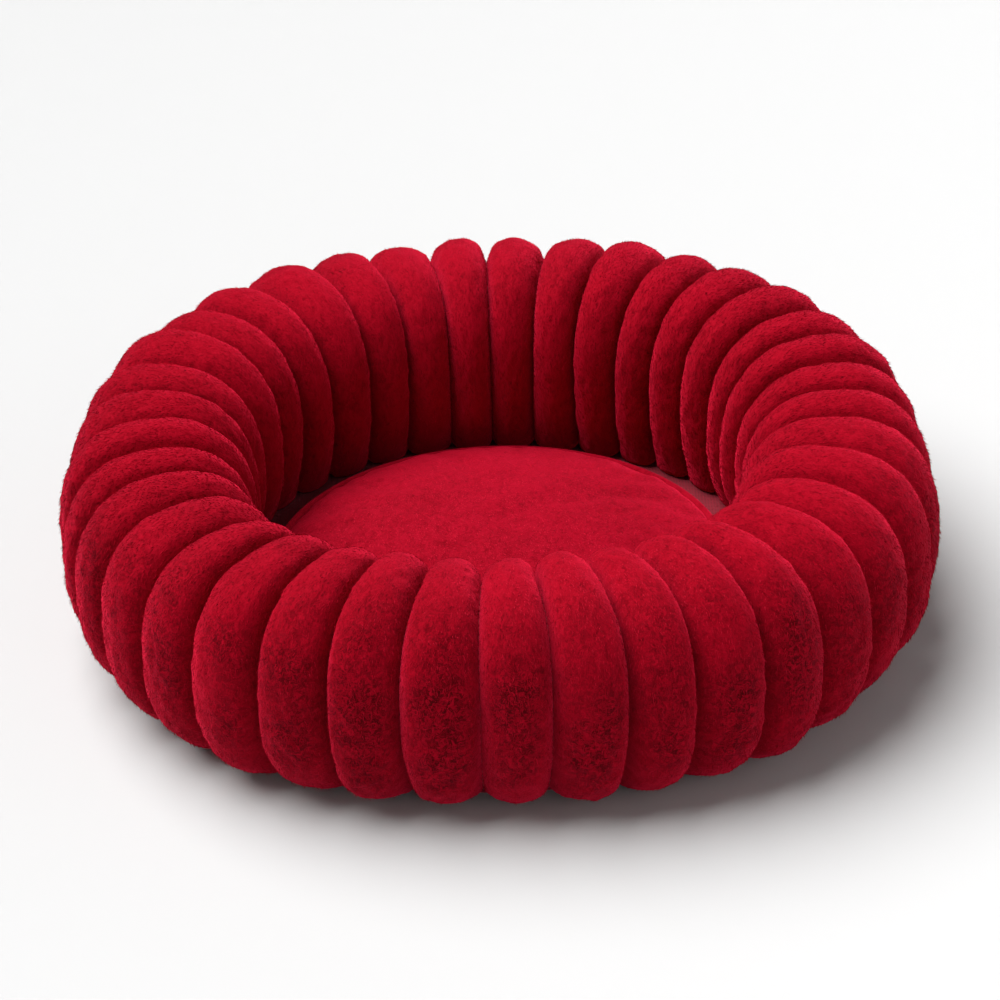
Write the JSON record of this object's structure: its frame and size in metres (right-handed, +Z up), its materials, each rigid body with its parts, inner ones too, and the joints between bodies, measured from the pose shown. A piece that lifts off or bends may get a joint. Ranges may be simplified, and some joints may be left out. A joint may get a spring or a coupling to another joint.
{
  "type": "pet cushion bed",
  "caption": "Round pet bed: a wall of stuffed plush ribs round a flat padded base, with a loose round cushion inside and a zip under the base.",
  "frame": {"origin": "on the floor under the middle of the bed", "axes": "+Z up, out of the nest; front towards -Y; the zip under the base runs along X"},
  "size_m": [0.5981, 0.5984, 0.155],
  "materials": {
    "plush": "matte",
    "cushion_plush": "matte",
    "lining": "matte",
    "fibre": "matte",
    "base_cloth": "matte",
    "binding": "matte",
    "zip_tape": "matte",
    "zip_teeth": "satin",
    "zip_metal": "satin",
    "label": "satin"
  },
  "bodies": {
    "bed": {"rib_01": "plush", "rib_02": "plush", "rib_03": "plush", "rib_04": "plush", "rib_05": "plush", "rib_06": "plush", "rib_07": "plush", "rib_08": "plush", "rib_09": "plush", "rib_10": "plush", "rib_11": "plush", "rib_12": "plush", "rib_13": "plush", "rib_14": "plush", "rib_15": "plush", "rib_16": "plush", "rib_17": "plush", "rib_18": "plush", "rib_19": "plush", "rib_20": "plush", "rib_21": "plush", "rib_22": "plush", "rib_23": "plush", "rib_24": "plush", "rib_25": "plush", "rib_26": "plush", "rib_27": "plush", "rib_28": "plush", "rib_29": "plush", "rib_30": "plush", "rib_31": "plush", "rib_32": "plush", "rib_33": "plush", "rib_34": "plush", "rib_35": "plush", "rib_36": "plush", "rib_37": "plush", "bolster_lining": "lining", "bolster_filling": "fibre", "base_top_lining": "lining", "base_wadding": "fibre", "base_cloth_front": "base_cloth", "base_cloth_rear": "base_cloth", "base_binding": "binding", "zip_tape_front": "zip_tape", "zip_tape_rear": "zip_tape", "zip_teeth_front": "zip_teeth", "zip_teeth_rear": "zip_teeth", "zip_top_stop": "zip_metal", "zip_bottom_stop": "zip_metal", "care_label": "label"},
    "cushion": {"cushion_top_cover": "cushion_plush", "cushion_bottom_cover": "cushion_plush", "cushion_filling": "fibre", "cushion_piping": "binding"},
    "slider": {"zip_slider": "zip_metal"},
    "pull": {"zip_pull": "zip_metal"}
  },
  "joints": [
    {"name": "cushion_lift", "type": "slide", "parent": "bed", "child": "cushion", "axis": [0, 0, 1], "range_m": [0, 0.25]},
    {"name": "zip_slide", "type": "slide", "parent": "bed", "child": "slider", "axis": [-1, 0, 0], "range_m": [0, 0.285]},
    {"name": "zip_pull_turn", "type": "hinge", "parent": "slider", "child": "pull", "pos_m": [0.1514, 0, 0.0012], "axis": [0, 1, 0], "range_deg": [0, 150]}
  ]
}
